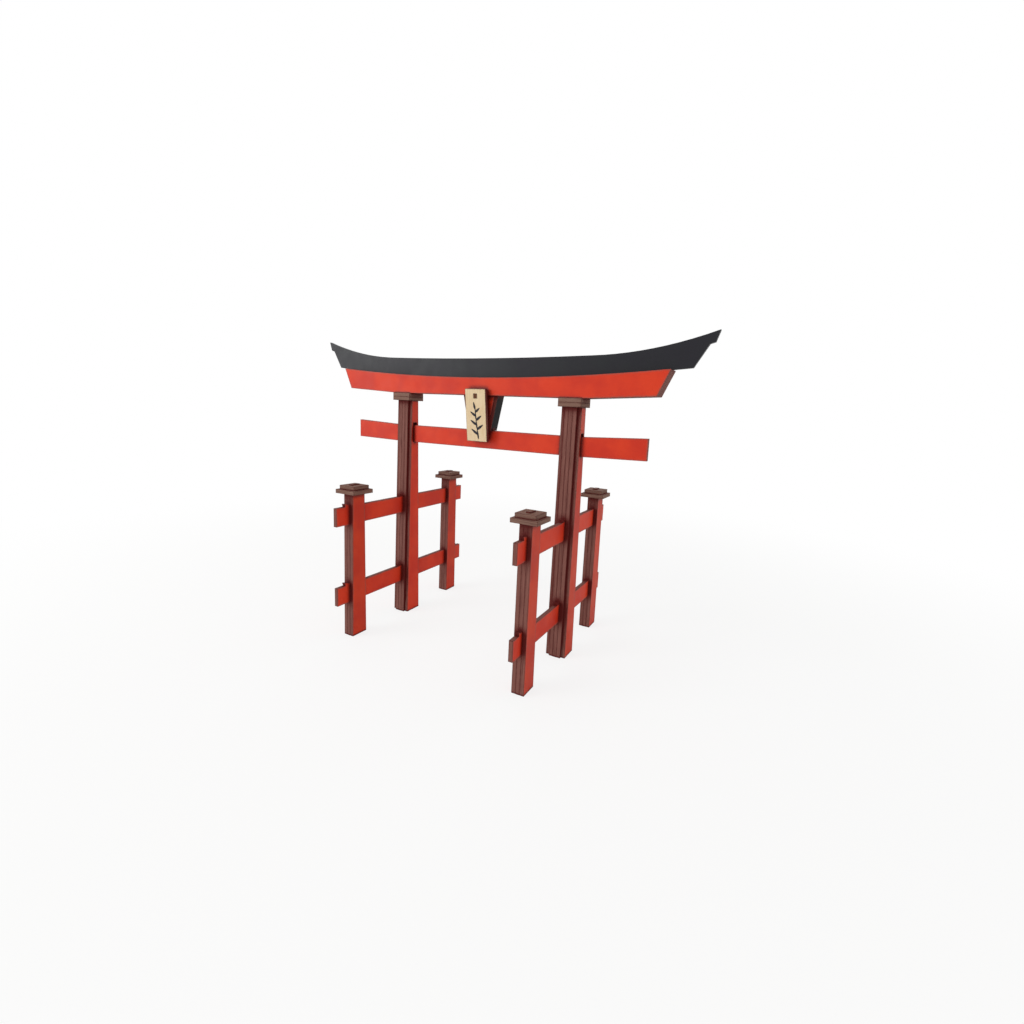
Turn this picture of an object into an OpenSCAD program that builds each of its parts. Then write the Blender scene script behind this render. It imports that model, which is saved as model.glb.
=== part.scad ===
// Four-legged torii gate, a kit of laser-cut painted board.
// Every piece is cut from flat board of one thickness and glued face to face.
// X runs along the beams, -Y is the front, the ground is z = 0 and the origin is
// on the ground midway between the two main posts.

/* [Board] */
// Thickness of the board that every piece is cut from
board = 2.1; // [1.5:0.1:2.6]

/* [Main posts] */
// Distance between the centres of the two main posts
main_spacing = 104; // [90:1:120]
// Height of a main post up to the underside of its cap
main_h = 126.8; // [118:0.2:140]
// Depth of a main post's cheek at the ground
main_foot = 10.2; // [9:0.2:14]
// Depth of a main post's cheek at the top
main_head = 5.2; // [4.8:0.2:9]
// How far the middle boards of a main post stand proud of its cheeks, front and back
main_step = 1.1; // [0.6:0.1:2]
// How far the square cap plates of a main post stand out past its cheeks
main_cap_overhang = 0.75; // [0.4:0.05:3]

/* [Outer posts] */
// Distance between the centres of the front and back outer posts
outer_spacing = 81.4; // [70:0.2:96]
// Height of an outer post up to the underside of its cap
outer_h = 77.4; // [74:0.2:90]
// Depth of an outer post at the ground
outer_foot = 9.4; // [8:0.2:12]
// Depth of an outer post at the top
outer_head = 8; // [6:0.2:9]
// Side of the lower cap plate of an outer post
cap_lower = 13; // [11:0.2:16]
// Side of the upper cap plate of an outer post
cap_upper = 10.2; // [8:0.2:10.8]
// Width of the tenon that comes up through the cap plates
tenon_w = 5; // [3:0.2:6]
// How far the tenon stands above the upper cap plate
tenon_proud = 0.6; // [0.2:0.1:1.2]

/* [Rails] */
// Height of a rail, from its lower to its upper edge
rail_h = 9.6; // [7:0.1:12]
// Underside of the lower rail above the ground
lower_rail_z = 19.1; // [12:0.1:26]
// Distance from the cap of an outer post down to the top of the upper rail
upper_rail_drop = 6.5; // [4:0.1:16]
// How far a rail runs out past the centre of an outer post
rail_reach = 12.6; // [9:0.1:16]
// Length of a wedge along the top of a rail
wedge_l = 3.4; // [2:0.1:5]
// Height of a wedge at its outer end
wedge_h = 1.6; // [1:0.1:3]
// Height of a wedge where it meets the post
wedge_root = 1; // [0.5:0.1:2]
// How far the underside of a wedge stops short of its upper corner
wedge_undercut = 0.5; // [0.2:0.1:1]

/* [Tie beam] */
// How far the tie beam runs out past the centre of a main post
tie_reach = 37.5; // [20:0.5:48]
// Height of the tie beam between the main posts
tie_h = 9.7; // [8:0.1:13]
// How far the top of the tie beam climbs from the posts to its tips
tie_tip_rise = 1.3; // [0.4:0.1:3]
// How far the underside of the tie beam climbs from the posts to its tips
tie_foot_rise = 0.7; // [0.2:0.1:3]
// Distance from the caps of the main posts down to the top of the tie beam
tie_drop = 14; // [6:0.1:18]
// Room above the tie beam in the slots of the main posts
slot_top = 1.5; // [0.8:0.1:2.5]
// Room in front of and behind the tie beam in the slots of the cheeks
slot_side = 0.6; // [0.3:0.1:1]

/* [Lintel beams] */
// Height of the lower lintel at mid length
lower_lintel_h = 9; // [7:0.1:12]
// How far the lower lintel stops short of the upper lintel's underside at each end
lower_lintel_setback = 7.8; // [3:0.1:12]
// How far each end of the lower lintel slants back towards its underside
lower_lintel_slant = 5.2; // [2:0.1:9]
// Level stretch of the lower lintel's underside past the cap of a main post
lower_lintel_seat = 0.5; // [0.5:0.5:8]
// Rise of the lower lintel's underside from that level stretch to its end
lower_lintel_rise = 1.8; // [1:0.1:3]
// Rise of the curve between the two lintels from the middle to the end
joint_rise = 4.5; // [3:0.1:6]
// Height of the upper lintel at mid length
upper_lintel_h = 10.2; // [8:0.1:12]
// Length of the upper lintel from tip to tip
upper_lintel_l = 231; // [215:1:240]
// Middle stretch of the upper lintel's top, which sags only slightly
ridge_l = 124; // [80:1:150]
// Sag of the upper lintel's top over that middle stretch
ridge_sag = 0.9; // [0.5:0.1:2]
// Height of the upper lintel's tips above the lowest point of its top
upper_lintel_rise = 10.7; // [8:0.1:13]
// How far each end of the upper lintel slants back below the eaves strip
upper_lintel_slant = 6.3; // [3:0.1:9]
// Depth of the eaves strip at the tips of the upper lintel
eaves_h = 5; // [3:0.1:6]
// How far the eaves strip overhangs the rest of the upper lintel
eaves_step = 2.2; // [1:0.1:3]
// Fall of the eaves strip's underside across that overhang
eaves_fall = 0.7; // [0.3:0.1:1.2]
// How far each tip slants back towards the lower edge of the eaves strip
eaves_slant = 1.6; // [0.5:0.1:2]

/* [Strut and plaque] */
// Width of the strut at its top, over its side plates
strut_top_w = 21.6; // [18:0.2:26]
// Width of the strut at its foot, over its side plates
strut_foot_w = 14; // [12:0.2:18]
// Width of the plaque
plaque_w = 12.4; // [10:0.1:16]
// Length of the plaque
plaque_l = 27.3; // [24:0.1:32]
// Forward tilt of the plaque, degrees
plaque_tilt = 7; // [3:0.5:9]
// Room between the lower lintel's lower front edge and the back of the plaque
plaque_standoff = 0.95; // [0.5:0.05:2]
// How far the plaque reaches up in front of the lower lintel
plaque_lap = 3.2; // [2:0.1:6]
// Height of the tenon that comes through the plaque
plaque_tenon_h = 2.4; // [1.5:0.1:4]
// How far the top of that tenon lies above the lower lintel's underside
plaque_tenon_rise = 0.8; // [0:0.1:1.5]

/* [Hidden] */
$fn = 96;
long_arc_fn = 1440;
eps = 0.01;

left = -1;
right = 1;
front = -1;
back = 1;
inward = -1;
outward = 1;

red = "#c8402c";
brown = "#6b4a42";
black = "#343438";
bare_wood = "#ddcdaf";

main_x = main_spacing / 2;
outer_y = outer_spacing / 2;
main_core_foot = main_foot + 2 * main_step;
main_core_head = main_head + 2 * main_step;
main_post_w = 5 * board;
main_cap_side = main_post_w + 2 * main_cap_overhang;
rail_half = outer_y + rail_reach;
upper_rail_z = outer_h - upper_rail_drop - rail_h;
tie_l = main_spacing + 2 * tie_reach;
tie_z = main_h - tie_drop - tie_h;
lintel_z = main_h + 2 * board;
joint_z = lintel_z + lower_lintel_h;
ridge_z = joint_z + upper_lintel_h;
lintel_depth = 5 * board;
lintel_front_y = -lintel_depth / 2;
upper_lintel_foot = upper_lintel_l - 2 * (eaves_slant + eaves_step + upper_lintel_slant);
lower_lintel_l = upper_lintel_foot - 2 * lower_lintel_setback;
lower_lintel_flat = main_spacing + main_cap_side + 2 * lower_lintel_seat;
slot_z = tie_z + tie_h + slot_top;
strut_z = tie_z + tie_h;
strut_h = lintel_z - strut_z;
strut_depth = 3 * board;
strut_front_y = -strut_depth / 2;

// Radius of an arc that starts level and climbs by rise over run
function arc_radius(run, rise) = (run * run + rise * rise) / (2 * rise);

// Depth of a tapered post at height z
function taper(foot, head, height, z) = foot + (head - foot) * z / height;

// ---- flat outlines, drawn in the plane of the board ----

// Tapered post seen from the side, standing on the ground
module post_outline(foot, head, height) {
    polygon([[-foot / 2, 0], [foot / 2, 0], [head / 2, height], [-head / 2, height]]);
}

// Slot that the tie beam passes through
module tie_slot(side_room) {
    translate([-board / 2 - side_room, tie_z])
        square([board + 2 * side_room, slot_z - tie_z]);
}

// Wedge on a rail's upper edge, at a back face of a post and thicker at its outer end
module wedge_outline(face_y, rail_top) {
    polygon([
        [face_y - wedge_l, rail_top - wedge_root],
        [face_y + wedge_l - wedge_undercut, rail_top - wedge_root],
        [face_y + wedge_l - wedge_undercut, rail_top],
        [face_y + wedge_l, rail_top + wedge_h],
        [face_y, rail_top + wedge_root],
        [face_y - wedge_l, rail_top + wedge_root]
    ]);
}

// Repeats an outline at the front
module back_and_front() {
    children();
    mirror([1, 0])
        children();
}

// Rail of a side frame with its wedges at the front and back faces of the posts
module rail_outline(z) {
    rail_top = z + rail_h;
    outer_face = taper(outer_foot, outer_head, outer_h, rail_top) / 2;
    main_face = taper(main_core_foot, main_core_head, main_h, rail_top) / 2;
    translate([-rail_half, z])
        square([2 * rail_half, rail_h]);
    back_and_front() {
        wedge_outline(outer_y + outer_face, rail_top);
        wedge_outline(main_face, rail_top);
    }
}

// One side frame: the middle boards of three posts and the two rails, cut as one board
module side_frame_outline() {
    difference() {
        union() {
            post_outline(main_core_foot, main_core_head, main_h);
            translate([-tenon_w / 2, main_h - eps])
                square([tenon_w, 2 * board + eps]);
            for (end = [front, back])
                translate([end * outer_y, 0]) {
                    post_outline(outer_foot, outer_head, outer_h);
                    translate([-tenon_w / 2, outer_h - eps])
                        square([tenon_w, 2 * board + tenon_proud + eps]);
                }
            rail_outline(lower_rail_z);
            rail_outline(upper_rail_z);
        }
        tie_slot(0);
    }
}

// ---- boards placed in space ----

// Stands an outline drawn in y and z upright, one board thick and centred on x
module upright_board(x) {
    translate([x - board / 2, 0, 0])
        rotate([90, 0, 90])
            linear_extrude(board)
                children();
}

// Stands an outline drawn in x and z upright between two depths
module facing_board(y_front, y_back) {
    translate([0, y_back, 0])
        rotate([90, 0, 0])
            linear_extrude(y_back - y_front)
                children();
}

module side_frame(side) {
    color(red)
        upright_board(side * main_x)
            side_frame_outline();
}

// Board of a main post beside the frame, as deep as the frame's own post
module main_post_middle(side, face) {
    color(red)
        upright_board(side * (main_x + face * board))
            difference() {
                post_outline(main_core_foot, main_core_head, main_h);
                tie_slot(0);
            }
}

// Outermost board of a main post, set back from the middle boards
module main_post_cheek(side, face) {
    color(red)
        upright_board(side * (main_x + face * 2 * board))
            difference() {
                post_outline(main_foot, main_head, main_h);
                tie_slot(slot_side);
            }
}

module outer_post_cheek(side, end, face) {
    color(red)
        upright_board(side * (main_x + face * board))
            translate([end * outer_y, 0])
                post_outline(outer_foot, outer_head, outer_h);
}

// Cap plate with a slot for the tenon
module cap_plate(x, y, z, size) {
    color(brown)
        translate([x, y, z])
            linear_extrude(board)
                difference() {
                    square(size, center = true);
                    square([board, tenon_w], center = true);
                }
}

module outer_cap(side, end, course) {
    size = course == 0 ? cap_lower : cap_upper;
    cap_plate(side * main_x, end * outer_y, outer_h + course * board, size);
}

module main_cap(side, course) {
    cap_plate(side * main_x, 0, main_h + course * board, main_cap_side);
}

// Tie beam, level between the main posts and climbing from there to its tips
module tie_beam() {
    tip = tie_l / 2;
    bend = main_x + main_post_w / 2;
    tie_top = tie_z + tie_h;
    color(red)
        facing_board(-board / 2, board / 2)
            polygon([
                [-bend, tie_z],
                [bend, tie_z],
                [tip, tie_z + tie_foot_rise],
                [tip, tie_top + tie_tip_rise],
                [bend, tie_top],
                [-bend, tie_top],
                [-tip, tie_top + tie_tip_rise],
                [-tip, tie_z + tie_foot_rise]
            ]);
}

// ---- lintels ----

// Space below the curve that parts the two lintels
module below_joint_curve() {
    radius = arc_radius(lower_lintel_l / 2, joint_rise);
    difference() {
        translate([-upper_lintel_l, 0])
            square([2 * upper_lintel_l, joint_z + 4 * joint_rise]);
        translate([0, joint_z + radius])
            circle(radius, $fn = long_arc_fn);
    }
}

// Lower lintel: slanted ends, curved top, and an underside that is level over the main
// posts and climbs from there to the ends
module lower_lintel_outline() {
    top = lower_lintel_l / 2;
    foot = top - lower_lintel_slant;
    slant = lower_lintel_slant / (lower_lintel_h + joint_rise - lower_lintel_rise);
    intersection() {
        polygon([
            [-lower_lintel_flat / 2, lintel_z],
            [lower_lintel_flat / 2, lintel_z],
            [foot, lintel_z + lower_lintel_rise],
            [top + board * slant, joint_z + joint_rise + board],
            [-top - board * slant, joint_z + joint_rise + board],
            [-foot, lintel_z + lower_lintel_rise]
        ]);
        below_joint_curve();
    }
}

// Space above the top of the upper lintel: a wide arc over the middle stretch, running
// on at each end into a tighter arc that meets the tip
module above_ridge() {
    half = ridge_l / 2;
    radius = arc_radius(half, ridge_sag);
    lean = asin(half / radius);
    run = upper_lintel_l / 2 - half;
    rise = upper_lintel_rise - ridge_sag;
    end_run = run * cos(lean) + rise * sin(lean);
    end_rise = rise * cos(lean) - run * sin(lean);
    end_radius = arc_radius(end_run, end_rise);
    intersection() {
        translate([-half, ridge_z])
            square([ridge_l, 2 * upper_lintel_rise]);
        translate([0, ridge_z + radius])
            circle(radius, $fn = long_arc_fn);
    }
    end_z = ridge_z + ridge_sag + end_radius * cos(lean) - eps;
    for (end = [left, right])
        translate([end * (half - end_radius * sin(lean)), end_z])
            circle(end_radius, $fn = long_arc_fn);
}

// Upper lintel: upswept top and stepped, slanted ends
module upper_lintel_outline() {
    tip = upper_lintel_l / 2;
    tip_z = ridge_z + upper_lintel_rise;
    eaves_z = tip_z - eaves_h;
    eaves_foot = tip - eaves_slant;
    foot = upper_lintel_foot / 2;
    difference() {
        polygon([
            [-foot, joint_z],
            [foot, joint_z],
            [foot, joint_z + joint_rise],
            [eaves_foot - eaves_step, eaves_z - eaves_fall],
            [eaves_foot, eaves_z],
            [tip, tip_z],
            [-tip, tip_z],
            [-eaves_foot, eaves_z],
            [-eaves_foot + eaves_step, eaves_z - eaves_fall],
            [-foot, joint_z + joint_rise]
        ]);
        below_joint_curve();
        above_ridge();
    }
}

// Red board of the lower lintel, a number of boards in front of the core or behind it
module lower_lintel(place) {
    color(red)
        facing_board((place - 0.5) * board, (place + 0.5) * board)
            lower_lintel_outline();
}

// Core board of both lintels, cut as one: it shows alone as the upper lintel
module upper_lintel_core() {
    color(black)
        facing_board(-board / 2, board / 2)
            union() {
                upper_lintel_outline();
                lower_lintel_outline();
            }
}

// ---- strut between the beams, and the plaque ----

module strut_board(layer) {
    y = (layer - 0.5) * board;
    color(red)
        facing_board(y, y + board)
            polygon([
                [-strut_foot_w / 2 + board, strut_z],
                [strut_foot_w / 2 - board, strut_z],
                [strut_top_w / 2 - board, lintel_z],
                [-strut_top_w / 2 + board, lintel_z]
            ]);
}

module strut_side(side) {
    color(black)
        facing_board(strut_front_y, -strut_front_y)
            polygon([
                [side * (strut_foot_w / 2 - board), strut_z],
                [side * strut_foot_w / 2, strut_z],
                [side * strut_top_w / 2, lintel_z],
                [side * (strut_top_w / 2 - board), lintel_z]
            ]);
}

// Tilts what is drawn against an upright plane to the back of the plaque, with z = 0
// at the lower lintel's underside
module on_plaque() {
    translate([0, lintel_front_y - plaque_standoff, lintel_z])
        rotate([plaque_tilt, 0, 0])
            children();
}

// Tenon through the plaque, from its front face back to a depth behind it
module plaque_tenon(front_y, back_y) {
    on_plaque()
        translate([-board / 2, front_y, plaque_tenon_rise - plaque_tenon_h])
            cube([board, back_y - front_y, plaque_tenon_h]);
}

module plaque() {
    color(bare_wood)
        difference() {
            on_plaque()
                translate([-plaque_w / 2, -board, plaque_lap - plaque_l])
                    cube([plaque_w, board, plaque_l]);
            plaque_tenon(-2 * board, board);
        }
}

// Upright board that fills the gap from the strut to the plaque and ends in the tenon
module plaque_bracket() {
    gap_h = strut_h + plaque_tenon_rise;
    color(brown)
        union() {
            plaque_tenon(-board, board);
            difference() {
                intersection() {
                    translate([-board / 2, -lintel_depth - plaque_standoff, strut_z])
                        cube([board, lintel_depth + plaque_standoff + strut_front_y, gap_h]);
                    on_plaque()
                        translate([-board, 0, -2 * strut_h])
                            cube([2 * board, lintel_depth, 2 * strut_h + plaque_tenon_rise]);
                }
                translate([-board, lintel_front_y, lintel_z])
                    cube([2 * board, lintel_depth, strut_h]);
            }
        }
}

side_frame(left);  // left_side_frame
side_frame(right);  // right_side_frame
main_post_middle(left, inward);  // left_main_post_middle_in
main_post_middle(left, outward);  // left_main_post_middle_out
main_post_cheek(left, inward);  // left_main_post_cheek_in
main_post_cheek(left, outward);  // left_main_post_cheek_out
main_post_middle(right, inward);  // right_main_post_middle_in
main_post_middle(right, outward);  // right_main_post_middle_out
main_post_cheek(right, inward);  // right_main_post_cheek_in
main_post_cheek(right, outward);  // right_main_post_cheek_out
outer_post_cheek(left, front, inward);  // left_front_post_cheek_in
outer_post_cheek(left, front, outward);  // left_front_post_cheek_out
outer_post_cheek(left, back, inward);  // left_back_post_cheek_in
outer_post_cheek(left, back, outward);  // left_back_post_cheek_out
outer_post_cheek(right, front, inward);  // right_front_post_cheek_in
outer_post_cheek(right, front, outward);  // right_front_post_cheek_out
outer_post_cheek(right, back, inward);  // right_back_post_cheek_in
outer_post_cheek(right, back, outward);  // right_back_post_cheek_out
outer_cap(left, front, 0);  // left_front_cap_lower
outer_cap(left, front, 1);  // left_front_cap_upper
outer_cap(left, back, 0);  // left_back_cap_lower
outer_cap(left, back, 1);  // left_back_cap_upper
outer_cap(right, front, 0);  // right_front_cap_lower
outer_cap(right, front, 1);  // right_front_cap_upper
outer_cap(right, back, 0);  // right_back_cap_lower
outer_cap(right, back, 1);  // right_back_cap_upper
main_cap(left, 0);  // left_main_cap_lower
main_cap(left, 1);  // left_main_cap_upper
main_cap(right, 0);  // right_main_cap_lower
main_cap(right, 1);  // right_main_cap_upper
tie_beam();
upper_lintel_core();
lower_lintel(-2);  // lower_lintel_front
lower_lintel(-1);  // lower_lintel_front_inner
lower_lintel(1);  // lower_lintel_back_inner
lower_lintel(2);  // lower_lintel_back
strut_board(-1);  // strut_front
strut_board(0);  // strut_core
strut_board(1);  // strut_back
strut_side(left);  // strut_left_side
strut_side(right);  // strut_right_side
plaque();
plaque_bracket();
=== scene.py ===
"""Dresses the torii gate model: laser-cut painted board, browned cut edges and a small plaque.

Every piece is a board. Its two broad faces carry paint and its rim is the bare edge that the
laser left. Lengths are in metres, and MM is one millimetre.
"""

import math

import bmesh
import bpy
from bpy.props import FloatProperty, FloatVectorProperty, PointerProperty
from mathutils import Matrix, Vector


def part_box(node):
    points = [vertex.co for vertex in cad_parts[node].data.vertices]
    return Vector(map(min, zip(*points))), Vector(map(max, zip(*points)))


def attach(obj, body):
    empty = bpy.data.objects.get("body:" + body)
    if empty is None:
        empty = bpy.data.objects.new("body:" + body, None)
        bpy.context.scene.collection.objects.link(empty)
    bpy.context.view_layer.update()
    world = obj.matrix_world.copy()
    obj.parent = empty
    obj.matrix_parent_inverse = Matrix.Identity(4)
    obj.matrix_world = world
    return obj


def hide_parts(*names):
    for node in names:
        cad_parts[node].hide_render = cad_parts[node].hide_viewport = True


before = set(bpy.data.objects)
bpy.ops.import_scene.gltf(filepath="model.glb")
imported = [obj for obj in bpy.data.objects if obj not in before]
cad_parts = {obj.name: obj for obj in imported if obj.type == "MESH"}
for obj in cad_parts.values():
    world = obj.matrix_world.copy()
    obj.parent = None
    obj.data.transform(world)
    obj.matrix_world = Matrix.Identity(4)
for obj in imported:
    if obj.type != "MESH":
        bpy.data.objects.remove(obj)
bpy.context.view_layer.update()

bl_info = {
    "name": "Torii Gate Finish",
    "version": (1, 0, 0),
    "blender": (4, 5, 0),
    "location": "View3D > Sidebar > Torii Gate",
    "description": "Dresses the boards of a torii gate model and sets up its studio",
    "category": "Object",
}

MM = 0.001
SIDES = ("left", "right")
ENDS = ("front", "back")
AXES = {"x": 0, "y": 1, "z": 2}

# Places in a board's list of materials.
PAINT, RIM, EXTRA, WEDGE = 0, 1, 2, 3

# A side frame is one board, so these parts of it have no node of their own: how far from the
# middle its outer posts begin, the upper faces of its rails, and the wedges that stand on them.
OUTER_POSTS_FROM = 20 * MM
RAIL_TOPS = (28.7 * MM, 70.9 * MM)
WEDGE_HEIGHT = 1.6 * MM

PLAQUE_TILT = math.radians(7)
INK_FILM = 0.1 * MM

# Corners closer than WELD are one, faces that turn less than FLAT are one, and an edge that
# turns more than SHARP is an arris. A face looks along an axis when the cosine between them is
# over FACING.
WELD = 0.001 * MM
FLAT = math.radians(0.3)
SHARP = math.radians(25)
FACING = 0.9

# Sizes of the patterns in millimetres. Paint: slow swells as wide as the fan of the spray, thin
# and thick spots within them, and the pebble of the dried drops. The real pebble is about
# 0.15 mm across and is drawn coarser so that it shows.
COAT_CLOUD, COAT_DRIFT, COAT_PEBBLE = 16, 7, 0.5
# Cut rims: the flicker of the burn along a cut, the pressed layers of the fibre board, tones
# about as wide as one board, the ribs that the pulsing beam leaves and single fibres. The real
# layers, ribs and fibres are 0.1 to 0.3 mm across and are drawn coarser so that they show.
BURN_FLICKER, FIBRE_LAYER, BOARD_BAND, BEAM_RIB, FIBRE = 2.5, 0.5, 2.4, 0.7, 0.35
# Dark board (burnt on the bracket, painted shade on the red steps and wedges), bare limewood and
# brushed ink. Its grains, the wood's rays and the bristles' streaks are 0.1 to 0.3 mm wide and
# are drawn coarser so that they show.
SOOT_AND_SHADE_GRAIN, WOOD_GRAIN, WOOD_CLOUD, BRISTLE = 0.5, 0.7, 8, 0.4

# Painted shade: how far from a corner it shows on paint and on a cut rim, the heights over the
# floor between which it sets in, and those between which the dark foot of a post, painted shade
# and burn together, fades out.
COAT_SHADE_REACH, RIM_SHADE_REACH = 3.5 * MM, 8 * MM
SHADE_FROM = (3 * MM, 9 * MM)
FOOT_SHADE_AND_BURN = (1.2 * MM, 0.3 * MM)
# Cosine between a face and its rounded self at which the burn along an arris begins.
BURN_FROM = 0.998

# Stage, in metres. The sensor's width is in millimetres, and the lens shift is a share of it.
CAMERA_PLACE = Vector((141.516, -218.407, 123.5)) * MM
LENS_SHIFT = (-0.01499, -0.02535)
SENSOR_WIDTH = 36
CLIP_START = 0.01
LAMP_SIZE = 0.5
LOW_KEY_PLACE = Vector((-0.73, -0.68, 0.28))
HIGH_KEY_PLACE = Vector((-0.55, -0.6, 0.75))
GATE_CENTRE = Vector((0, 0, 0.08))
FLOOR_RADIUS = 4

# Kinds of node. The colour sockets of a Mix node share their names with its other sockets, so
# they go by number.
NOISE, SPAN, MAPPING = "ShaderNodeTexNoise", "ShaderNodeMapRange", "ShaderNodeMapping"
BLEND, MATH = "ShaderNodeMix", "ShaderNodeMath"
UNDER, OVER, BLENDED = 6, 7, 2


# ---- colours and small helpers ----


def linear(hex_code):
    """Linear colour of an sRGB hex value such as "C8402C"."""
    channels = []
    for start in (0, 2, 4):
        s = int(hex_code[start : start + 2], 16) / 255
        channels.append(s / 12.92 if s <= 0.04045 else ((s + 0.055) / 1.055) ** 2.4)
    return (*channels, 1.0)


def colour_property(name, description, hex_code):
    return FloatVectorProperty(
        name=name,
        description=description,
        default=linear(hex_code),
        size=4,
        min=0,
        max=1,
        subtype="COLOR",
    )


def per_mm(size):
    """Noise scale whose grains measure size millimetres on Object coordinates in metres."""
    return 1 / (size * MM)


def tinted(colour, *factors):
    """Colour with its red, green and blue multiplied by factors."""
    return [min(1.0, c * f) for c, f in zip(colour[:3], factors)] + [1.0]


class TORII_PG_finish(bpy.types.PropertyGroup):
    """Colours and small sizes of the finish."""

    vermilion: colour_property("Vermilion", "Paint on posts, rails, tie beam, lintel", "D12F0D")
    lamp_black: colour_property("Lamp black", "Paint on upper lintel, strut sides", "1D1D22")
    cut_brown: colour_property("Cut edge", "Board edge browned by the laser", "7C4F46")
    scorch: colour_property("Scorch", "Darkest burn along a cut", "4A1813")
    # Painted shade: the colour that the red paint takes in deep shade, in corners and at the post
    # feet.
    shade_colour: colour_property("Soot", "Red paint smoked dark in the corners", "560D0A")
    cap_brown: colour_property("Cap brown", "Stained caps on the posts", "7E6053")
    pale_wood: colour_property("Pale wood", "Bare face of the plaque", "DFC8A3")
    ink: colour_property("Ink", "Brush strokes on the plaque", "1A1720")
    edge_round: FloatProperty(
        name="Edge round",
        description="How far the arrises of every board are eased",
        default=0.12 * MM,
        min=0.02 * MM,
        max=0.4 * MM,
        unit="LENGTH",
    )
    scorch_reach: FloatProperty(
        name="Scorch reach",
        description="How far the burn of a cut creeps over the painted face",
        default=0.8 * MM,
        min=0.05 * MM,
        max=2 * MM,
        unit="LENGTH",
    )


class TORII_PG_studio(bpy.types.PropertyGroup):
    """Camera and light."""

    lens: FloatProperty(
        name="Lens", description="Focal length in millimetres", default=16.829, min=10, max=200
    )
    yaw: FloatProperty(
        name="Yaw",
        description="Turn of the camera to the left",
        default=0.476982,
        subtype="ANGLE",
        unit="ROTATION",
    )
    pitch: FloatProperty(
        name="Pitch",
        description="Tilt of the camera upwards",
        default=-0.153512,
        subtype="ANGLE",
        unit="ROTATION",
    )
    roll: FloatProperty(
        name="Roll",
        description="Lean of the camera to its right",
        default=0.047598,
        subtype="ANGLE",
        unit="ROTATION",
    )
    low_key_power: FloatProperty(
        name="Low key",
        description="Power of the soft lamp at eye level",
        default=2.3,
        min=0,
        unit="POWER",
    )
    high_key_power: FloatProperty(
        name="High key",
        description="Power of the soft lamp overhead",
        default=1.5,
        min=0,
        unit="POWER",
    )
    sky_strength: FloatProperty(
        name="Sky", description="Light from the white surroundings", default=0.765, min=0, max=2
    )


# ---- materials ----


def new_material(name):
    material = bpy.data.materials.new(name)
    material.use_nodes = True
    material.node_tree.nodes.clear()
    return material


def add(owner, kind, inputs=None, output=0, **settings):
    """Adds a node to a material or world and gives back one output of it. Inputs holds values
    or sockets by the input's name or number."""
    tree = owner.node_tree
    node = tree.nodes.new(kind)
    for name, value in settings.items():
        setattr(node, name, value)
    for key, value in (inputs or {}).items():
        if isinstance(value, bpy.types.NodeSocket):
            tree.links.new(value, node.inputs[key])
        else:
            node.inputs[key].default_value = value
    return node.outputs[output] if node.outputs else None


def stained(m, base, colour, pattern, low, high, share=1.0):
    """Base with colour worked in as pattern goes from low to high, up to a share of it."""
    span = {"Value": pattern, "From Min": low, "From Max": high, "To Max": share}
    amount = add(m, SPAN, span, interpolation_type="SMOOTHSTEP")
    return add(m, BLEND, {"Factor": amount, UNDER: base, OVER: colour}, BLENDED, data_type="RGBA")


def burnt_arris(m, point, reach, full, weak, strong):
    """Between weak and strong on a board's arrises, falling to 0 at about reach from them. The
    burn is whole where the cosine between the face and its rounded self is full or less."""
    rounded = add(m, "ShaderNodeBevel", {"Radius": reach}, samples=6)
    own = add(m, "ShaderNodeNewGeometry", output="Normal")
    alike = add(m, "ShaderNodeVectorMath", {0: rounded, 1: own}, "Value", operation="DOT_PRODUCT")
    span = {"Value": alike, "From Min": BURN_FROM, "From Max": full}
    near = add(m, SPAN, span, interpolation_type="SMOOTHSTEP")
    flicker = add(m, NOISE, {"Vector": point, "Scale": per_mm(BURN_FLICKER), "Detail": 2})
    span = {"Value": flicker, "From Min": 0.3, "From Max": 0.6, "To Min": weak, "To Max": strong}
    heat = add(m, SPAN, span, interpolation_type="SMOOTHSTEP")
    return add(m, MATH, {0: near, 1: heat}, operation="MULTIPLY")


def shaded_corners_and_foot(m, point, base, shade_colour, reach, open_share, shut_share):
    """Base darkened deep in the corners between boards as painted shade, and at the very foot of
    a post by painted shade and burn together. The shade begins where the open sky falls below
    open_share and is whole at shut_share."""
    sky = add(m, "ShaderNodeAmbientOcclusion", {"Distance": reach}, "AO", samples=10)
    span = {"Value": sky, "From Min": open_share, "From Max": shut_share}
    depth = add(m, SPAN, span, interpolation_type="SMOOTHSTEP")
    height = add(m, "ShaderNodeSeparateXYZ", {0: point}, "Z")
    span = {"Value": height, "From Min": SHADE_FROM[0], "From Max": SHADE_FROM[1]}
    above_floor = add(m, SPAN, span)
    corner = add(m, MATH, {0: depth, 1: above_floor}, operation="MULTIPLY")
    # Painted shade in the corners, set by how much open sky a point sees.
    base = stained(m, base, shade_colour, corner, 0, 1, share=0.93)
    # The dark foot of a post: a painted contact shadow and the burnt cut together.
    return stained(m, base, shade_colour, height, *FOOT_SHADE_AND_BURN, share=0.85)


def drawn_out(axis, across, along):
    """Scale of a pattern on a board: across on its thickness, along on the two other axes."""
    factors = [along, along, along]
    factors[AXES[axis]] = across
    return factors


def surfaced(m, colour, roughness, ior, height, depth):
    """Closes material m with a plain dielectric surface, bumped depth millimetres by height."""
    bump = add(m, "ShaderNodeBump", {"Height": height, "Distance": depth * MM, "Strength": 1.0})
    inputs = {"Base Color": colour, "Roughness": roughness, "IOR": ior, "Normal": bump}
    surface = add(m, "ShaderNodeBsdfPrincipled", inputs)
    add(m, "ShaderNodeOutputMaterial", {"Surface": surface})


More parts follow.
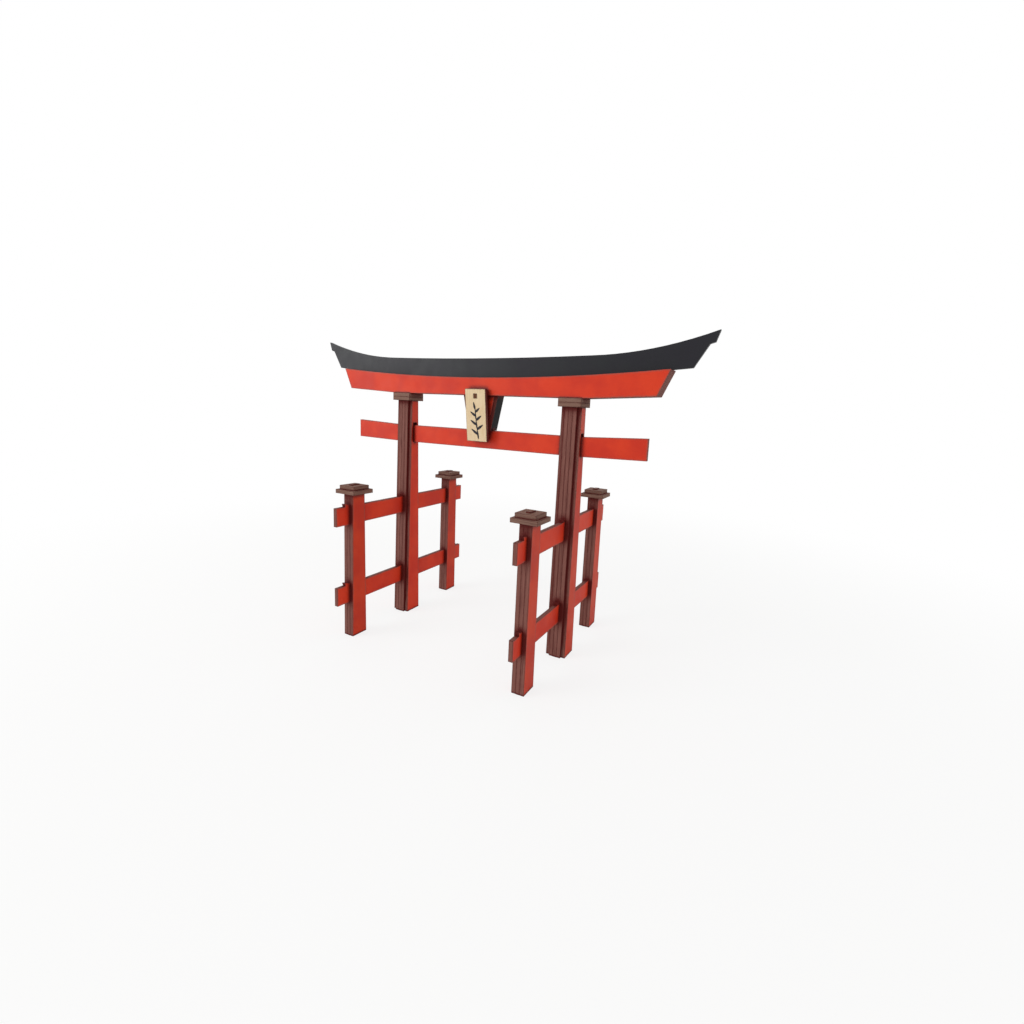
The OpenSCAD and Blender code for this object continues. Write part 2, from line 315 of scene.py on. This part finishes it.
def painted_board(m, point, paint, edge, shade_colour, reach, roughness, ior, warmth):
    """Sprayed acrylic on fine board: a soft satin film over a very fine pebble. It is warmer
    where the coat is thin, singed brown beside each cut and darkened in the corners by painted
    shade."""
    cloud = add(m, NOISE, {"Vector": point, "Scale": per_mm(COAT_CLOUD), "Detail": 3})
    drift = add(m, NOISE, {"Vector": point, "Scale": per_mm(COAT_DRIFT), "Detail": 2})
    pebble = add(m, NOISE, {"Vector": point, "Scale": per_mm(COAT_PEBBLE), "Detail": 2})
    deep = tinted(paint, 0.88, 0.8, 0.95)
    thin = tinted(paint, 1 + 0.04 * warmth, 1 + 0.28 * warmth, 1 + 0.1 * warmth)
    colour = stained(m, deep, thin, cloud, 0.35, 0.65)
    colour = stained(m, colour, paint, drift, 0.5, 0.75, share=0.3)
    colour = stained(m, colour, deep, pebble, 0.62, 0.8, share=0.2)
    singe = burnt_arris(m, point, reach, full=0.9, weak=0.4, strong=0.7)
    colour = stained(m, colour, edge, singe, 0, 1)
    colour = shaded_corners_and_foot(m, point, colour, shade_colour, COAT_SHADE_REACH, open_share=0.95, shut_share=0.6)
    sheen = {"Value": drift, "From Min": 0.2, "From Max": 0.8}
    satin = add(m, SPAN, {**sheen, "To Min": roughness - 0.06, "To Max": roughness + 0.06})
    waves = add(m, MATH, {0: cloud, 1: 10, 2: pebble}, operation="MULTIPLY_ADD")
    surfaced(m, colour, satin, ior, waves, depth=0.0125)


def cut_board(m, point, axis, brown, scorch, shade_colour, reach, open_share):
    """Laser-cut rim of fibre board: dull brown in fine layers along the board, a little ribbed
    across it by the pulses of the beam, burnt dark along both arrises and darkened in the corners
    by painted shade."""
    flow = add(m, MAPPING, {"Vector": point, "Scale": drawn_out(axis, 1, 0.05)})
    layer = add(m, NOISE, {"Vector": flow, "Scale": per_mm(FIBRE_LAYER), "Detail": 3})
    flow = add(m, MAPPING, {"Vector": point, "Scale": drawn_out(axis, 1, 0.02)})
    board = add(m, NOISE, {"Vector": flow, "Scale": per_mm(BOARD_BAND), "Detail": 1})
    flow = add(m, MAPPING, {"Vector": point, "Scale": drawn_out(axis, 0.1, 1)})
    rib = add(m, NOISE, {"Vector": flow, "Scale": per_mm(BEAM_RIB), "Detail": 2})
    fibre = add(m, NOISE, {"Vector": point, "Scale": per_mm(FIBRE), "Detail": 2})
    dull, dark = tinted(brown, 0.86, 0.8, 0.8), tinted(brown, 0.55, 0.42, 0.42)
    colour = stained(m, dull, brown, board, 0.35, 0.65)
    colour = stained(m, colour, tinted(brown, 1.22, 1.3, 1.32), layer, 0.5, 0.72, share=0.7)
    colour = stained(m, colour, dark, layer, 0.46, 0.3, share=0.75)
    colour = stained(m, colour, dull, rib, 0.5, 0.75, share=0.3)
    colour = stained(m, colour, dark, fibre, 0.58, 0.8, share=0.3)
    burn = burnt_arris(m, point, reach, full=0.86, weak=0.65, strong=1)
    colour = stained(m, colour, scorch, burn, 0, 1)
    colour = shaded_corners_and_foot(m, point, colour, shade_colour, RIM_SHADE_REACH, open_share, open_share - 0.14)
    relief = add(m, MATH, {0: layer, 1: fibre}, operation="ADD")
    surfaced(m, colour, 0.75, 1.3, relief, depth=0.04)


def pale_board(m, point, wood, scorch, reach):
    """Bare limewood veneer: cream with a fine straight grain, browned at its cut border."""
    flow = add(m, MAPPING, {"Vector": point, "Scale": drawn_out("z", 0.06, 1)})
    grain = add(m, NOISE, {"Vector": flow, "Scale": per_mm(WOOD_GRAIN), "Detail": 4})
    cloud = add(m, NOISE, {"Vector": point, "Scale": per_mm(WOOD_CLOUD), "Detail": 2})
    deep = tinted(wood, 0.84, 0.76, 0.62)
    colour = stained(m, wood, deep, grain, 0.4, 0.75, share=0.55)
    colour = stained(m, colour, deep, cloud, 0.4, 0.8, share=0.3)
    burn = burnt_arris(m, point, reach, full=0.86, weak=0.7, strong=0.9)
    colour = stained(m, colour, scorch, burn, 0, 1)
    surfaced(m, colour, 0.6, 1.4, grain, depth=0.02)


def burnt_and_shaded_board(m, point, lit, scorch):
    """Dark fibrous matt board: the burn of the cut on the bracket, painted shade on the red steps
    and wedges.
    """
    fibre = add(m, NOISE, {"Vector": point, "Scale": per_mm(SOOT_AND_SHADE_GRAIN), "Detail": 3})
    colour = stained(m, lit, scorch, fibre, 0.4, 0.75)
    surfaced(m, colour, 0.7, 1.3, fibre, depth=0.03)


def ink_strokes(m, point, ink):
    """Brushed ink: matt black, thinner and browner where the brush ran dry."""
    dry = add(m, NOISE, {"Vector": point, "Scale": per_mm(BRISTLE), "Detail": 3})
    colour = stained(m, ink, tinted(ink, 3.5, 3, 2.6), dry, 0.5, 0.75, share=0.6)
    surfaced(m, colour, 0.55, 1.4, dry, depth=0.01)


def material_of(name):
    """A finished material of the gate, made the first time it is asked for."""
    if name in bpy.data.materials:
        return bpy.data.materials[name]
    look = bpy.context.scene.torii_finish
    red, black, ink = look.vermilion[:], look.lamp_black[:], look.ink[:]
    brown, scorch, shade_colour = look.cut_brown[:], look.scorch[:], look.shade_colour[:]
    cap, wood, reach = look.cap_brown[:], look.pale_wood[:], look.scorch_reach
    red_coat = dict(edge=brown, shade_colour=shade_colour, reach=2 * reach, roughness=0.5, ior=1.35, warmth=1)
    black_coat = dict(reach=reach, warmth=0.3)
    # Burn along the cuts, and the colour of the painted shade in corners, for the cut rims.
    burn = dict(scorch=scorch, shade_colour=shade_colour, reach=reach)
    makers = {
        # Thin spray coats on fibre board: even warm red, satin, cloudy on a second look.
        "vermilion_acrylic_on_board": (painted_board, dict(paint=red, **red_coat)),
        # The same coat a shade darker and greyer: painted shade and grazing sheen on these posts.
        "shaded_sheen_vermilion_acrylic": (
            painted_board,
            dict(paint=tinted(red, 0.88, 1.05, 1.1), **red_coat),
        ),
        # The same spray in black, a little glossier: it greys where it takes the light.
        "black_acrylic_on_board": (
            painted_board,
            dict(
                paint=black,
                edge=tinted(black, 0.6, 0.6, 0.6),
                shade_colour=black,
                roughness=0.4,
                ior=1.33,
                **black_coat,
            ),
        ),
        # The black paint made close to pitch black as painted shade, with lighter brownish grey
        # arrises as a painted highlight.
        "shaded_black_acrylic": (
            painted_board,
            dict(
                paint=tinted(black, 0.3, 0.25, 0.25),
                edge=tinted(brown, 0.7, 1, 1.1),
                shade_colour=shade_colour,
                roughness=0.5,
                ior=1.25,
                **black_coat,
            ),
        ),
        # Bare cut edge of boards that lie across x or y: layered, matt brown, burnt arrises.
        "laser_cut_rim_x": (cut_board, dict(axis="x", brown=brown, open_share=0.9, **burn)),
        "laser_cut_rim_y": (cut_board, dict(axis="y", brown=brown, open_share=0.9, **burn)),
        # Fibre board wiped with a greyish brown stain, burnt along its arrises, with deeper
        # painted shade in its corners and seams than the cut rims have.
        "stained_cap_board": (cut_board, dict(axis="z", brown=cap, open_share=0.74, **burn)),
        # Pale veneer left bare, cream and finely streaked.
        "bare_limewood": (pale_board, dict(wood=wood, scorch=scorch, reach=reach)),
        # Painted shade on the red paint of the narrow steps and wedges beside a cut: dark
        # oxblood, matt.
        "shaded_step_vermilion": (burnt_and_shaded_board, dict(lit=tinted(shade_colour, 1.3, 1.6, 1.6), scorch=scorch)),
        # Small board burnt all over: dark umber, fibrous.
        "scorched_board": (burnt_and_shaded_board, dict(lit=tinted(brown, 0.65, 0.72, 0.4), scorch=scorch)),
        # Ink laid on with a brush, nearly black.
        "brushed_ink": (ink_strokes, dict(ink=ink)),
    }
    maker, values = makers[name]
    m = new_material(name)
    maker(m, add(m, "ShaderNodeTexCoord", output="Object"), **values)
    return m


# ---- boards ----


def welded(node):
    """Bmesh of a CAD node with its corners merged and its flat faces joined."""
    bm = bmesh.new()
    bm.from_mesh(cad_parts[node].data)
    bmesh.ops.remove_doubles(bm, verts=bm.verts, dist=WELD)
    bmesh.ops.dissolve_limit(
        bm, angle_limit=FLAT, use_dissolve_boundaries=False, verts=bm.verts, edges=bm.edges
    )
    return bm


def ease_edges(bm, width):
    """Rounds every arris of a board."""
    arrises = [e for e in bm.edges if len(e.link_faces) == 2 and e.calc_face_angle() > SHARP]
    bmesh.ops.bevel(
        bm,
        geom=arrises,
        offset=width,
        offset_type="OFFSET",
        affect="EDGES",
        segments=2,
        profile=0.5,
        material=-1,
        clamp_overlap=True,
    )


def finished(name, bm, materials, stands_for=()):
    """Makes an object from bm that rides with the gate."""
    mesh = bpy.data.meshes.new(name)
    bm.to_mesh(mesh)
    bm.free()
    for material in materials:
        mesh.materials.append(material_of(material))
    piece = bpy.data.objects.new(name, mesh)
    bpy.context.scene.collection.objects.link(piece)
    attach(piece, "root")
    if stands_for:
        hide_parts(*stands_for)
    return piece


def board_piece(name, bm, axis, materials, stands_for=(), tilt=0.0, special=None):
    """Makes a board from bm: broad faces across axis take the first material, the cut rim the
    second, and special may name another one by its number for a face."""
    broad = Vector((0, 0, 0))
    broad[AXES[axis]] = 1
    broad.rotate(Matrix.Rotation(tilt, 3, "X"))
    for face in bm.faces:
        face.material_index = PAINT if abs(face.normal.dot(broad)) > FACING else RIM
        if special:
            face.material_index = special(face) or face.material_index
    ease_edges(bm, bpy.context.scene.torii_finish.edge_round)
    for face in bm.faces:
        face.smooth = True
    piece = finished(name, bm, materials, stands_for)
    shading = piece.modifiers.new("even_shading", "WEIGHTED_NORMAL")
    shading.keep_sharp = True


def dressed(node, axis, paint, rim=None, tilt=0.0):
    """Dresses one node whole, as a board across axis."""
    materials = (paint, rim or f"laser_cut_rim_{axis}")
    board_piece(node + "_board", welded(node), axis, materials, (node,), tilt)


# ---- operators, one for each group of like pieces ----


class TORII_OT_side_frames(bpy.types.Operator):
    """Dresses the two side frames; their tenons are stained as the caps are, and their wedges
    take the dark red of painted shade
    """

    bl_idname = "torii.side_frames"
    bl_label = "Side Frames"

    def execute(self, context):
        materials = (
            "vermilion_acrylic_on_board",
            "laser_cut_rim_x",
            "stained_cap_board",
            "shaded_step_vermilion",
        )
        for side in SIDES:
            node = f"{side}_side_frame"
            bm = welded(node)
            cap_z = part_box(f"{side}_front_cap_lower")[0][2]
            wedge_tops = [top + WEDGE_HEIGHT for top in RAIL_TOPS]
            for height in (cap_z, *RAIL_TOPS, *wedge_tops):
                bmesh.ops.bisect_plane(
                    bm,
                    geom=bm.verts[:] + bm.edges[:] + bm.faces[:],
                    dist=WELD,
                    plane_co=(0, 0, height),
                    plane_no=(0, 0, 1),
                )

            def special(face):
                middle = face.calc_center_median()
                if abs(middle.y) < OUTER_POSTS_FROM:
                    # Wedges take the dark red of painted shade.
                    on_rail = any(0 < middle.z - top < WEDGE_HEIGHT for top in RAIL_TOPS)
                    return WEDGE if on_rail else None
                return EXTRA if middle.z > cap_z else None

            board_piece(node + "_board", bm, "x", materials, (node,), special=special)
        return {"FINISHED"}


class TORII_OT_main_posts(bpy.types.Operator):
    """Dresses the two main posts: painted cheeks, and middle boards darkened at the steps as
    painted shade
    """

    bl_idname = "torii.main_posts"
    bl_label = "Main Posts"

    def execute(self, context):
        # The right cheeks take a darker, greyer copy of the coat: painted shade and sheen.
        cheeks = {"left": "vermilion_acrylic_on_board", "right": "shaded_sheen_vermilion_acrylic"}
        for side in SIDES:
            for face in ("in", "out"):
                dressed(f"{side}_main_post_middle_{face}", "x", "shaded_step_vermilion")
                dressed(f"{side}_main_post_cheek_{face}", "x", cheeks[side])
        return {"FINISHED"}


class TORII_OT_outer_posts(bpy.types.Operator):
    """Dresses the cheeks of the four outer posts in a darker, greyer copy of the red coat, as
    painted shade and sheen
    """

    bl_idname = "torii.outer_posts"
    bl_label = "Outer Posts"

    def execute(self, context):
        for side in SIDES:
            for end in ENDS:
                for face in ("in", "out"):
                    node = f"{side}_{end}_post_cheek_{face}"
                    dressed(node, "x", "shaded_sheen_vermilion_acrylic")
        return {"FINISHED"}


class TORII_OT_caps(bpy.types.Operator):
    """Dresses the stepped caps of all six posts"""

    bl_idname = "torii.caps"
    bl_label = "Caps"

    def execute(self, context):
        for side in SIDES:
            for post in ("front", "back", "main"):
                for course in ("lower", "upper"):
                    node = f"{side}_{post}_cap_{course}"
                    dressed(node, "z", "stained_cap_board", "stained_cap_board")
        return {"FINISHED"}


class TORII_OT_tie_beam(bpy.types.Operator):
    """Dresses the beam that passes through both main posts"""

    bl_idname = "torii.tie_beam"
    bl_label = "Tie Beam"

    def execute(self, context):
        dressed("tie_beam", "y", "vermilion_acrylic_on_board")
        return {"FINISHED"}


class TORII_OT_lintels(bpy.types.Operator):
    """Dresses the black upper lintel and the four red boards laid against its foot"""

    bl_idname = "torii.lintels"
    bl_label = "Lintels"

    def execute(self, context):
        node = "upper_lintel_core"
        materials = ("black_acrylic_on_board", "laser_cut_rim_y", "black_acrylic_on_board")
        joint_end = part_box("lower_lintel_front")[1][2] - 0.1 * MM

        def special(face):
            """The black board's rim is painted too, down to its joint with the red boards."""
            rim = abs(face.normal.y) < FACING
            return EXTRA if rim and face.calc_center_median().z > joint_end else None

        bm = welded(node)
        board_piece(node + "_board", bm, "y", materials, (node,), special=special)
        for layer in ("front", "front_inner", "back_inner", "back"):
            dressed(f"lower_lintel_{layer}", "y", "vermilion_acrylic_on_board")
        return {"FINISHED"}


class TORII_OT_strut(bpy.types.Operator):
    """Dresses the strut between the tie beam and the lower lintel"""

    bl_idname = "torii.strut"
    bl_label = "Strut"

    def execute(self, context):
        for layer in ("front", "core", "back"):
            dressed(f"strut_{layer}", "y", "vermilion_acrylic_on_board")
        for side in SIDES:
            # The strut's black sides are darkened as painted shade.
            dressed(f"strut_{side}_side", "x", "shaded_black_acrylic")
        return {"FINISHED"}


# Leafy sprig on the plaque: strokes of a brush, each with its root across and down from the
# middle of the plaque's top edge, its heading in degrees (90 is down), length and width in mm.
SPRIG = (
    (1.2, 26.0, 262, 5.8, 1.05),
    (0.5, 20.8, 264, 5.6, 0.95),
    (0.0, 15.8, 266, 5.2, 0.85),
    (-0.3, 11.2, 268, 2.8, 0.7),
    (0.8, 23.6, 216, 4.8, 1.45),
    (0.5, 21.0, 324, 4.6, 1.45),
    (0.2, 18.6, 214, 4.4, 1.4),
    (0.0, 16.2, 323, 4.3, 1.4),
    (-0.2, 14.0, 216, 3.9, 1.3),
    (-0.3, 12.0, 320, 3.7, 1.3),
    (-0.4, 10.4, 258, 3.8, 1.3),
)


def brush_stroke(bm, heading, length, width):
    """Adds one leaf-shaped stroke that starts at the origin and runs along heading. It is a
    quarter wider than width at its root and a good half of it at its tip."""
    verts = bmesh.ops.create_circle(bm, cap_ends=True, segments=20, radius=0.5)["verts"]
    for vertex in verts:
        along = vertex.co.x + 0.5
        vertex.co = Vector((along * length, vertex.co.y * width * (1.25 - 0.7 * along), 0))
    bmesh.ops.rotate(bm, verts=verts, matrix=Matrix.Rotation(math.radians(heading), 3, "Z"))
    return verts


class TORII_OT_plaque(bpy.types.Operator):
    """Dresses the tilted plaque and its bracket, and paints a leafy sprig on its face"""

    bl_idname = "torii.plaque"
    bl_label = "Plaque"

    def execute(self, context):
        dressed("plaque", "y", "bare_limewood", tilt=PLAQUE_TILT)
        dressed("plaque_bracket", "x", "scorched_board", "scorched_board")
        low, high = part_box("plaque")
        beam_low, beam_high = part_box("tie_beam")
        board = beam_high[1] - beam_low[1]
        top_edge = Vector((0, low[1], high[2] - board * math.sin(PLAQUE_TILT)))
        bm = bmesh.new()
        for across, down, heading, length, width in SPRIG:
            verts = brush_stroke(bm, heading, length, width)
            bmesh.ops.translate(bm, verts=verts, vec=(across, down, 0))
        bmesh.ops.scale(bm, verts=bm.verts, vec=(MM, MM, MM))
        bmesh.ops.translate(bm, verts=bm.verts, vec=(0, 0, -INK_FILM / 2))
        film = bmesh.ops.extrude_face_region(bm, geom=bm.faces[:])["geom"]
        lifted = [v for v in film if isinstance(v, bmesh.types.BMVert)]
        bmesh.ops.translate(bm, verts=lifted, vec=(0, 0, INK_FILM))
        # Across the face stays along x, down the face follows its tilt, and the film's
        # thickness lies square to it, half of it sunk in the board.
        sine, cosine = math.sin(PLAQUE_TILT), math.cos(PLAQUE_TILT)
        turn = Matrix(((1, 0, 0), (0, sine, -cosine), (0, -cosine, -sine)))
        bmesh.ops.rotate(bm, verts=bm.verts, matrix=turn)
        bmesh.ops.translate(bm, verts=bm.verts, vec=top_edge)
        bmesh.ops.recalc_face_normals(bm, faces=bm.faces)
        finished("plaque_brushwork", bm, ("brushed_ink",))
        return {"FINISHED"}


# ---- stage ----


def place_camera(studio):
    """Camera in front of the gate's right-hand side, a little above the tie beam."""
    yaw, pitch, roll = studio.yaw, studio.pitch, studio.roll
    level_part = math.cos(pitch)
    ahead = Vector((-math.sin(yaw) * level_part, math.cos(yaw) * level_part, math.sin(pitch)))
    level = ahead.cross(Vector((0, 0, 1))).normalized()
    above = level.cross(ahead)
    right = math.cos(roll) * level + math.sin(roll) * above
    up = -math.sin(roll) * level + math.cos(roll) * above
    data = bpy.data.cameras.new("camera")
    data.lens = studio.lens
    data.sensor_width = SENSOR_WIDTH
    data.shift_x, data.shift_y = LENS_SHIFT
    data.clip_start = CLIP_START
    camera = bpy.data.objects.new("camera", data)
    turn = Matrix((right, up, -ahead)).transposed().to_4x4()
    camera.matrix_world = Matrix.Translation(CAMERA_PLACE) @ turn
    bpy.context.scene.collection.objects.link(camera)
    bpy.context.scene.camera = camera


def soft_lamp(name, power, place):
    """Round soft lamp at place that points at the middle of the gate."""
    data = bpy.data.lights.new(name, "AREA")
    data.energy = power
    data.shape = "DISK"
    data.size = LAMP_SIZE
    lamp = bpy.data.objects.new(name, data)
    lamp.location = place
    lamp.rotation_euler = (GATE_CENTRE - place).to_track_quat("-Z", "Y").to_euler()
    bpy.context.scene.collection.objects.link(lamp)


def bright_paper():
    """White paper sweep. The camera sees most of it by its own white glow, so that the gate's
    soft shadow stays faint, and all of it from 0.5 m away, where the floor is pure white."""
    m = new_material("white_paper_sweep")
    point = add(m, "ShaderNodeTexCoord", output="Object")
    far = add(m, "ShaderNodeVectorMath", {0: point}, "Value", operation="LENGTH")
    span = {"Value": far, "From Min": 0.15, "From Max": 0.5, "To Min": 0.78, "To Max": 1}
    fade = add(m, SPAN, span, interpolation_type="SMOOTHSTEP")
    seen = add(m, "ShaderNodeLightPath", output="Is Camera Ray")
    share = add(m, MATH, {0: seen, 1: fade}, operation="MULTIPLY")
    paper = add(m, "ShaderNodeBsdfDiffuse", {"Color": linear("F4F4F2")})
    glow = add(m, "ShaderNodeEmission", {"Color": linear("FFFFFF"), "Strength": 1.0})
    surface = add(m, "ShaderNodeMixShader", {0: share, 1: paper, 2: glow})
    add(m, "ShaderNodeOutputMaterial", {"Surface": surface})
    return m


def white_surroundings(sky_strength):
    """World that is white to the eye and in reflections and lights the gate by sky_strength."""
    world = bpy.data.worlds.new("white_surroundings")
    world.use_nodes = True
    world.node_tree.nodes.clear()
    to_eye = add(world, "ShaderNodeLightPath", output="Is Camera Ray")
    glossy = add(world, "ShaderNodeLightPath", output="Is Glossy Ray")
    seen = add(world, MATH, {0: to_eye, 1: glossy}, operation="MAXIMUM")
    strength = add(world, SPAN, {"Value": seen, "To Min": sky_strength, "To Max": 1.0})
    white = add(world, "ShaderNodeBackground", {"Color": linear("FFFFFF"), "Strength": strength})
    add(world, "ShaderNodeOutputWorld", {"Surface": white})
    return world


class TORII_OT_studio(bpy.types.Operator):
    """Lays the pale floor and sets the lamps, world and camera"""

    bl_idname = "torii.studio"
    bl_label = "Studio"

    def execute(self, context):
        scene = context.scene
        studio = scene.torii_studio
        scene.view_settings.view_transform = "Standard"

        bm = bmesh.new()
        bmesh.ops.create_circle(bm, cap_ends=True, segments=64, radius=FLOOR_RADIUS)
        mesh = bpy.data.meshes.new("floor")
        bm.to_mesh(mesh)
        bm.free()
        floor = bpy.data.objects.new("floor", mesh)
        floor.data.materials.append(bright_paper())
        scene.collection.objects.link(floor)

        scene.world = white_surroundings(studio.sky_strength)
        soft_lamp("low_key_lamp", studio.low_key_power, LOW_KEY_PLACE)
        soft_lamp("high_key_lamp", studio.high_key_power, HIGH_KEY_PLACE)
        place_camera(studio)
        return {"FINISHED"}


# ---- panel and registration ----

PIECES = (
    "side_frames",
    "main_posts",
    "outer_posts",
    "caps",
    "tie_beam",
    "lintels",
    "strut",
    "plaque",
    "studio",
)


class TORII_PT_panel(bpy.types.Panel):
    """Lists the steps and the values that shape them"""

    bl_idname = "TORII_PT_panel"
    bl_label = "Torii Gate"
    bl_space_type = "VIEW_3D"
    bl_region_type = "UI"
    bl_category = "Torii Gate"

    def draw(self, context):
        layout = self.layout
        for name in PIECES:
            layout.operator(f"torii.{name}")
        for group in (context.scene.torii_finish, context.scene.torii_studio):
            for value in group.bl_rna.properties:
                if value.identifier not in ("rna_type", "name"):
                    layout.prop(group, value.identifier)


CLASSES = (
    TORII_PG_finish,
    TORII_PG_studio,
    TORII_OT_side_frames,
    TORII_OT_main_posts,
    TORII_OT_outer_posts,
    TORII_OT_caps,
    TORII_OT_tie_beam,
    TORII_OT_lintels,
    TORII_OT_strut,
    TORII_OT_plaque,
    TORII_OT_studio,
    TORII_PT_panel,
)


def register():
    for cls in CLASSES:
        bpy.utils.register_class(cls)
    bpy.types.Scene.torii_finish = PointerProperty(type=TORII_PG_finish)
    bpy.types.Scene.torii_studio = PointerProperty(type=TORII_PG_studio)


def unregister():
    del bpy.types.Scene.torii_studio
    del bpy.types.Scene.torii_finish
    for cls in reversed(CLASSES):
        bpy.utils.unregister_class(cls)


def main():
    register()
    for name in PIECES:
        getattr(bpy.ops.torii, name)()


if __name__ == "__main__":
    main()
